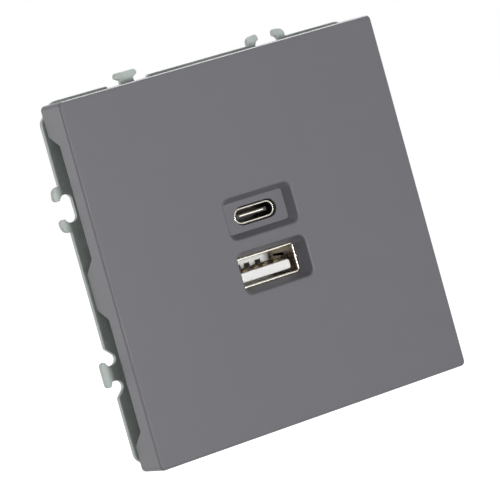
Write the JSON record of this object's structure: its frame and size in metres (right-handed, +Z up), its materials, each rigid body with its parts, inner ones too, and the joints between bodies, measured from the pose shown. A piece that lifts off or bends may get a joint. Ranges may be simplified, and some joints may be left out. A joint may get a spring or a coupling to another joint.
{
  "type": "usb wall socket",
  "caption": "Square flush-mounted wall charging socket: grey cover with a USB-C port above a USB-A port, steel support plate with coupling tees and hooks, closed power supply, claws.",
  "frame": {"origin": "middle of the wall plane, the rear face of the support plate, on the axis of the cover", "axes": "+X to the right seen from the front, +Y into the wall, +Z up; the ports face -Y"},
  "size_m": [0.0746, 0.0356, 0.0728],
  "materials": {
    "cover_plastic": "fine matte moulded grey",
    "galvanised_steel": "galvanised sheet, bright cut edges",
    "port_steel": "nickel plated sheet",
    "port_white": "white moulded insulator",
    "port_black": "black moulded insulator",
    "contact_gold": "gold plated",
    "housing_plastic": "light grey moulded",
    "screw_steel": "bright zinc plated",
    "claw_steel": "zinc plated spring steel",
    "terminal_brass": "plain brass",
    "board_laminate": "green coated laminate",
    "ferrite": "sintered, dull dark grey",
    "bobbin_plastic": "black moulded",
    "winding_tape": "yellow polyester tape",
    "can_sleeve": "dark sleeved can",
    "ceramic_blue": "dipped blue",
    "package_black": "moulded package",
    "fuse_brown": "dipped brown"
  },
  "bodies": {
    "mechanism": {"support_plate": "galvanised_steel", "front_housing": "housing_plastic", "rear_housing": "housing_plastic", "housing_screws": "screw_steel", "main_board": "board_laminate", "usb_a_shell": "port_steel", "usb_a_insulator": "port_white", "usb_a_contacts": "contact_gold", "usb_c_shell": "port_steel", "usb_c_insulator": "port_black", "usb_c_midplate": "port_steel", "usb_c_contacts": "contact_gold", "transformer_core": "ferrite", "transformer_bobbin": "bobbin_plastic", "transformer_winding": "winding_tape", "bulk_capacitors": "can_sleeve", "output_capacitor": "can_sleeve", "safety_capacitor": "ceramic_blue", "input_choke": "ferrite", "input_fuse": "fuse_brown", "rectifier": "package_black", "charge_controllers": "package_black", "terminal_block": "housing_plastic", "terminal_strips": "terminal_brass", "claw_pins": "screw_steel"},
    "cover": {"front_cover": "cover_plastic"},
    "claw_screw_left": {"claw_screw_left": "screw_steel"},
    "claw_nut_left": {"claw_nut_left": "screw_steel"},
    "claw_left": {"claw_left": "claw_steel"},
    "terminal_screw_left": {"terminal_screw_left": "screw_steel"},
    "terminal_cage_left": {"terminal_cage_left": "terminal_brass"},
    "claw_screw_right": {"claw_screw_right": "screw_steel"},
    "claw_nut_right": {"claw_nut_right": "screw_steel"},
    "claw_right": {"claw_right": "claw_steel"},
    "terminal_screw_right": {"terminal_screw_right": "screw_steel"},
    "terminal_cage_right": {"terminal_cage_right": "terminal_brass"}
  },
  "joints": [
    {"name": "cover_pull", "type": "slide", "parent": "mechanism", "child": "cover", "axis": [0, -1, 0], "range_m": [0, 0.02]},
    {"name": "claw_screw_left_turn", "type": "hinge", "parent": "mechanism", "child": "claw_screw_left", "pos_m": [-0.025, 0, 0], "axis": [0, 1, 0], "range_deg": [0, 2160]},
    {"name": "claw_nut_left_slide", "type": "slide", "parent": "mechanism", "child": "claw_nut_left", "axis": [0, -1, 0], "range_m": [0, 0.003]},
    {"name": "claw_left_swing", "type": "hinge", "parent": "mechanism", "child": "claw_left", "pos_m": [-0.0202, 0.005, 0], "axis": [0, 0, 1], "range_deg": [0, 35]},
    {"name": "terminal_screw_left_turn", "type": "hinge", "parent": "mechanism", "child": "terminal_screw_left", "pos_m": [-0.005, 0.02, -0.0143], "axis": [0, -1, 0], "range_deg": [0, 2160]},
    {"name": "terminal_cage_left_rise", "type": "slide", "parent": "mechanism", "child": "terminal_cage_left", "axis": [0, 1, 0], "range_m": [0, 0.003]},
    {"name": "claw_screw_right_turn", "type": "hinge", "parent": "mechanism", "child": "claw_screw_right", "pos_m": [0.025, 0, 0], "axis": [0, 1, 0], "range_deg": [0, 2160]},
    {"name": "claw_nut_right_slide", "type": "slide", "parent": "mechanism", "child": "claw_nut_right", "axis": [0, -1, 0], "range_m": [0, 0.003]},
    {"name": "claw_right_swing", "type": "hinge", "parent": "mechanism", "child": "claw_right", "pos_m": [0.0202, 0.005, 0], "axis": [0, 0, -1], "range_deg": [0, 35]},
    {"name": "terminal_screw_right_turn", "type": "hinge", "parent": "mechanism", "child": "terminal_screw_right", "pos_m": [0.005, 0.02, -0.0143], "axis": [0, -1, 0], "range_deg": [0, 2160]},
    {"name": "terminal_cage_right_rise", "type": "slide", "parent": "mechanism", "child": "terminal_cage_right", "axis": [0, 1, 0], "range_m": [0, 0.003]}
  ],
  "couplings": [
    {"joint": "claw_screw_left_turn", "follows": "claw_nut_left_slide", "rad_per_m": 12566},
    {"joint": "claw_left_swing", "follows": "claw_nut_left_slide", "rad_per_m": 203.6},
    {"joint": "terminal_screw_left_turn", "follows": "terminal_cage_left_rise", "rad_per_m": 12566},
    {"joint": "claw_screw_right_turn", "follows": "claw_nut_right_slide", "rad_per_m": 12566},
    {"joint": "claw_right_swing", "follows": "claw_nut_right_slide", "rad_per_m": 203.6},
    {"joint": "terminal_screw_right_turn", "follows": "terminal_cage_right_rise", "rad_per_m": 12566}
  ]
}
